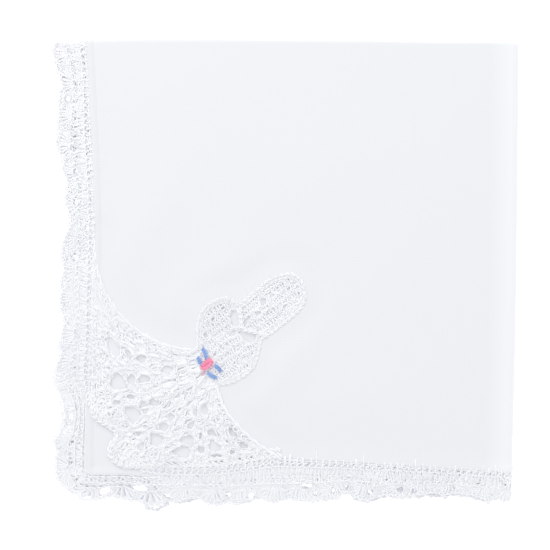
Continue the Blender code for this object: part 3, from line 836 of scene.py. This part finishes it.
def makeFan():
    dice = np.random.default_rng(21)
    strands = []
    levels = np.linspace(0, 0.985, fan["rows"] + 1)
    many = np.linspace(0, 1, 120)
    for k, (low, high) in enumerate(zip(levels, levels[1:])):
        arc = atHeight(fanPlace(many, low), 0.25)
        if k:
            strands += chain(arc, fan["chainWide"], fan["chainPitch"], fan["thread"])
        long = runOf(arc)[-1] + runOf(fanPlace(many, high))[-1]
        units = max(3, round(long / 2 / fan["unit"]))
        for unit in range(units + k % 2):
            centre = (unit + 0.5 - 0.5 * (k % 2)) / units
            for post in range(fan["cluster"]):
                place = (post - (fan["cluster"] - 1) / 2) / fan["cluster"] / units
                foot = centre + place * dice.uniform(0.6, 0.9)
                head = centre + place * dice.uniform(0.9, 1.15)
                if not (0 <= foot <= 1 and 0 <= head <= 1):
                    continue
                share = np.linspace(0, 1, 9)
                line = atHeight(fanPlace(foot + (head - foot) * share, low + (high - low) * share),
                                0.28 * dice.uniform(-1, 1))
                strands += rope(line, 0.2, fan["twist"], fan["post"], phase=dice.uniform(0, 6))
        # puffs: a few loops drawn up together
        for unit in range(units):
            centre = (unit + dice.uniform(0.2, 0.8)) / units
            middle = low + (high - low) * dice.uniform(0.3, 0.7)
            reach = (high - low) * dice.uniform(0.28, 0.42)
            lean = dice.uniform(-0.2, 0.2) / units
            share = np.linspace(-1, 1, 6)
            puff = fanPlace(np.clip(centre + lean * share, 0, 1), np.clip(middle + reach * share, 0, 1))
            strands += rope(atHeight(puff, 0.35), dice.uniform(0.38, 0.55), 3.0, fan["post"], 4,
                            dice.uniform(0, 6))
    # plain threads low down: at the neck, where the net is drawn tight, and under all of the net
    for a in np.linspace(0.03, 0.97, fan["neckLines"]):
        line = fanPlace(a, np.linspace(0, 0.24, 6))
        strands.append((atHeight(line, (-0.1, -0.35, -0.35, -0.35, -0.35, -0.1)), fan["lowThick"]))
    for a in np.linspace(0.01, 0.99, fan["lowLines"]):
        share = np.linspace(0.2, 0.98, 26)
        line = fanPlace(np.clip(a + 0.006 * np.sin(share * 40 + a * 90), 0, 1), share)
        strands.append((atHeight(line, -0.3), fan["lowThick"]))
    strands = [(shaken(line, fan["wobble"], fan["heightWave"], 90), thread) for line, thread in strands]
    strands = openUp(strands, rows(fan["openings"]))
    # a cord and a chain along each scoop, and two rows along the border
    for line, (wide, thick, up) in zip((leftScoop()[::-1], rightScoop()[::-1]), fan["scoopCords"]):
        _, side = frameOf(line)
        strands += rope(atHeight(line, up), 0.2, fan["cordPitch"], thick)
        strands += chain(atHeight(line + side * (0.8 + thick), 0.3), wide, 1.8, fan["edgeThread"])
    border = outerEdge()
    _, side = frameOf(border)
    for inwards, wide, up in fan["borderRows"]:
        line = atHeight(border + side * inwards, up)
        strands += chain(line, wide, fan["edgePitch"], fan["edgeThread"])
        strands += rope(line, 0.3, 2.2, 0.28)
    return strands


fanPiece = makeThreads("fan_crochet", makeFan(), crochetCotton)
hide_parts("lace_corner")


# The crochet flower above the neck

flower = {
    "thread": 0.25, "post": 0.25, "rowPitch": 2.3, "postPitch": 0.95, "twist": 1.6, "wobble": 0.3,
    "axis": 38, "size": 30, "lowBetween": (0.3, 1.05, 1.8), "lowHeight": -0.5, "lowThick": 0.33,
    "edgeRows": ((0.55, 1.0, 0.2), (1.5, 0.9, 0.1)),           # how far in, chain's width, height
    "openings": {
        "left": (89.2, 84.9, 89.9, 85.8, 81.8, 80.3, 74.6, 73.3, 68.9, 96.0, 96.2, 94.8, 98.4, 93.0,
                 91.6, 77.4, 79.2, 77.0, 75.6, 72.2, 88.0, 86.0, 91.0, 93.4, 88.8, 92.4, 95.4),
        "down": (86.7, 92.1, 91.2, 87.2, 85.1, 81.3, 80.0, 82.9, 79.6, 86.7, 88.6, 91.6, 92.1, 83.2,
                 94.6, 79.6, 85.0, 83.4, 77.4, 77.2, 96.2, 98.6, 97.4, 95.0, 100.6, 101.2, 97.8),
        "long": (2.6, 2.6, 1.2, 1.4, 0.9, 1.1, 0.6, 0.9, 2.9, 0.7, 0.6, 0.8, 0.8, 0.6, 0.5, 0.7, 0.6,
                 0.6, 0.6, 0.6, 0.6, 0.7, 0.6, 0.5, 0.7, 0.6, 0.5),
        "wide": (1.15, 1.35, 0.7, 0.7, 0.8, 0.7, 0.6, 0.6, 0.35, 0.5, 0.35, 0.6, 0.5, 0.5, 0.4, 0.5,
                 0.45, 0.4, 0.45, 0.4, 0.45, 0.45, 0.4, 0.4, 0.4, 0.45, 0.4),
        "turn": (-73, -20, 15, 55, 30, 65, 0, 10, -80, -80, 0, 10, -70, 40, 0, 50, 35, 40, 60, 70, 80,
                 80, 90, 70, 90, 90, 60),
    },
    "rib": {"left": (87.9, 87.2, 86.7, 83.0, 79.2), "down": (82.9, 86.8, 89.6, 90.6, 92.0)},
}


def insideLine(outline, s, t):
    # whether a line to the right of each point crosses the closed outline an odd number of times
    ax, ay = outline.T
    bx, by = np.roll(outline, -1, axis=0).T
    s, t = s[:, None], t[:, None]
    rise = np.where(by == ay, 1e-9, by - ay)
    crossing = ((ay > t) != (by > t)) & (s < ax + (t - ay) * (bx - ax) / rise)
    return crossing.sum(axis=1) % 2 == 1


def keepInside(strands, outline):
    kept = []
    points = np.concatenate([line for line, _ in strands])
    within = insideLine(outline, points[:, 0], points[:, 1])
    first = 0
    for line, thread in strands:
        held = within[first:first + len(line)]
        first += len(line)
        for piece in np.split(np.arange(len(line)), np.flatnonzero(np.diff(held.astype(int))) + 1):
            if len(piece) > 2 and held[piece[0]]:
                kept.append((line[piece], thread))
    return kept


def makeFlower():
    dice = np.random.default_rng(41)
    edge = flowerEdge()
    outline = np.vstack((edge, flat(*corner["neckRight"]) + (0.6, -1.0),
                         flat(*corner["neckLeft"]) + (-0.6, -1.0)))
    ahead = heading(radians(flower["axis"]))
    aside = np.array((-ahead[1], ahead[0]))
    middle = outline.mean(axis=0)
    size, pitch = flower["size"], flower["rowPitch"]
    strands = []
    for row in np.arange(-28, 28, pitch):
        line = atHeight(middle + aside * row + ahead * np.arange(-size, size, 0.6)[:, None], 0.1)
        strands += chain(line, 0.9, 1.5, flower["thread"])
        for between in flower["lowBetween"]:
            lower = line[::2] + (*(aside * between), flower["lowHeight"])
            strands.append((lower, flower["lowThick"]))
        for place in np.arange(-size, size, flower["postPitch"]):
            share = np.linspace(0, 1, 6)[:, None]
            post = (middle + aside * (row + share * pitch)
                    + ahead * (place + share * dice.uniform(-0.4, 0.4)))
            strands += rope(atHeight(post, dice.uniform(-0.2, 0.2)), 0.17, flower["twist"], flower["post"],
                            phase=dice.uniform(0, 6))
    strands = [(shaken(line, flower["wobble"], 0.2, 190), thread) for line, thread in strands]
    strands = keepInside(openUp(strands, rows(flower["openings"]), 1.2, 1.3), outline)
    _, side = frameOf(edge)
    for inwards, wide, up in flower["edgeRows"]:
        line = atHeight(edge - side * inwards, up)
        strands += chain(line, wide, 1.7, 0.24)
        strands += rope(line, 0.2, 3.6, 0.3)
    rib = atHeight(smoothLine(flatLine(*flower["rib"].values()), 0.8), 0.45)
    strands += chain(rib, 1.3, 1.6, 0.23) + rope(rib, 0.22, 1.8, 0.24)
    return strands


flowerPiece = makeThreads("flower_crochet", makeFlower(), crochetCotton)
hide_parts("lace_flower")


# Embroidery: a bullion rosebud with four leaves, in floss wound round itself

bullion = {
    "bud": {"left": 97.6, "down": 100.85, "long": 4.0, "turn": 40, "bend": 0.4, "apart": 0.32},
    "budCoil": {"core": 0.46, "floss": 0.33, "pitch": 0.74, "up": 1.25},
    "slit": {"share": 0.35, "down": 0.8},
    "leaves": {"left": (98.5, 99.9, 94.0, 95.7), "down": (97.5, 99.8, 102.2, 104.2),
               "long": (3.5, 2.7, 2.9, 3.6), "turn": (-68, -64, -46, -27),
               "bend": (0.25, -0.1, 0.2, -0.35)},
    "leafCoil": {"core": 0.42, "floss": 0.33, "pitch": 0.74, "up": 1.0},
    # two short straight stitches below the bud: their ends, left and down
    "stems": (((98.4, 103.1), (99.3, 104.6)), ((97.9, 103.4), (98.9, 105.0))),
    "stemHeights": (0.2, 0.7, 0.8, 0.8, 0.75, 0.6, 0.1), "stemThread": 0.14,
}


def coil(place, wound, seed):
    # floss wound round a core, which is thinner and lower at its ends
    dice = np.random.default_rng(seed)
    long, turn = place["long"], radians(place["turn"])
    share = np.linspace(0, 1, max(24, round(long / wound["pitch"] * 10)))
    ahead = heading(turn)
    aside = np.array((-ahead[1], ahead[0]))
    fat = wound["core"] * (0.55 + 0.45 * np.sin(pi * share) ** 0.5)
    angle = 2 * pi * share * long / wound["pitch"] + 0.3 * np.sin(share * 9 + dice.uniform(0, 6))
    path = (flat(place["left"], place["down"]) + ahead * ((share - 0.5) * long)[:, None]
            + aside * (place["bend"] * (1 - (2 * share - 1) ** 2) + fat * np.cos(angle))[:, None])
    height = wound["up"] - 0.7 * np.abs(2 * share - 1) ** 4 + fat * np.sin(angle)
    return atHeight(path, height), wound["floss"]


def makeBud():
    # two coils that bow apart, and a straight stitch low down between the two
    bud, wound, slit = bullion["bud"], bullion["budCoil"], bullion["slit"]
    turn = radians(bud["turn"])
    strands = []
    for sign in (1, -1):
        side = {**bud, "left": bud["left"] + sign * sin(turn) * bud["apart"],
                "down": bud["down"] - sign * cos(turn) * bud["apart"], "bend": sign * bud["bend"]}
        strands.append(coil(side, wound, 61 + sign))
    reach = np.linspace(-slit["share"], slit["share"], 8)[:, None] * bud["long"]
    low = flat(bud["left"], bud["down"]) + reach * heading(turn)
    strands.append((atHeight(low, wound["up"] - slit["down"]), wound["floss"]))
    return strands


budPiece = makeThreads("rosebud_floss", makeBud(), pinkFloss, 1)
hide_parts("rosebud")
stems = [(atHeight(np.linspace(flat(*start), flat(*end), 7), bullion["stemHeights"]), bullion["stemThread"])
         for start, end in bullion["stems"]]
stemPiece = makeThreads("stem_floss", stems, stemFloss, 1)
for k, leaf in enumerate(rows(bullion["leaves"])):
    wound = coil(leaf, bullion["leafCoil"], 70 + k)
    piece = makeThreads(f"leaf_floss_{k + 1}", [wound], blueFloss, 1)
    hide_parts(f"leaf_{k + 1}")


# The stage: plain pale floor, soft studio light, camera straight above

studio = {
    "cameraAt": (-0.0038, -0.0006, 0.4857), "lens": 100, "sensor": 36, "farthest": 10,
    "keyAt": (-0.3, 0.55, 0.55), "keyWide": 0.45, "keyWatts": 3.0,
    "fillAt": (0.9, -0.2, 0.8), "fillWide": 1.0, "fillWatts": 0.8,
    "world": 0.9, "floorHalf": 3, "floorAt": -0.0004, "floorGlow": 0.6, "gamma": 1.7, "bounces": 12,
}

floorShape = bmesh.new()
bmesh.ops.create_grid(floorShape, x_segments=1, y_segments=1, size=studio["floorHalf"])
bmesh.ops.translate(floorShape, verts=floorShape.verts[:], vec=(0, 0, studio["floorAt"]))
floor = shapeObject("floor", floorShape)
# matt paper that shines a little of its own, so it stays white round the object
paper, _, _ = newMaterial("studio paper, matt white", {
    "Base Color": linear("ffffff"), "Roughness": 0.9,
    "Emission Color": linear("ffffff"), "Emission Strength": studio["floorGlow"]})
floor.data.materials.append(paper)


def areaLight(name, place, wide, watts):
    lamp = bpy.data.lights.new(name, "AREA")
    lamp.shape = "DISK"
    lamp.size = wide
    lamp.energy = watts
    made = addObject(name, lamp)
    made.location = place
    made.rotation_euler = (-Vector(place)).to_track_quat("-Z", "Y").to_euler()


areaLight("soft box, upper left", studio["keyAt"], studio["keyWide"], studio["keyWatts"])
areaLight("fill, right", studio["fillAt"], studio["fillWide"], studio["fillWatts"])
world = bpy.data.worlds.new("studio")
world.use_nodes = True
world.node_tree.nodes["Background"].inputs["Color"].default_value = linear("fafcff")
world.node_tree.nodes["Background"].inputs["Strength"].default_value = studio["world"]
scene.world = world

camera = bpy.data.cameras.new("camera")
camera.lens = studio["lens"]
camera.sensor_width = studio["sensor"]
camera.clip_end = studio["farthest"]
cameraObject = addObject("camera", camera)
cameraObject.location = studio["cameraAt"]
scene.camera = cameraObject
scene.view_settings.view_transform = "Standard"
scene.view_settings.gamma = studio["gamma"]
# white thread passes light on many times before it's lost, so more bounces than usual
scene.cycles.diffuse_bounces = studio["bounces"]
scene.cycles.max_bounces = studio["bounces"] + 4
print("stage: floor, two lights and camera")

bpy.context.view_layer.update()
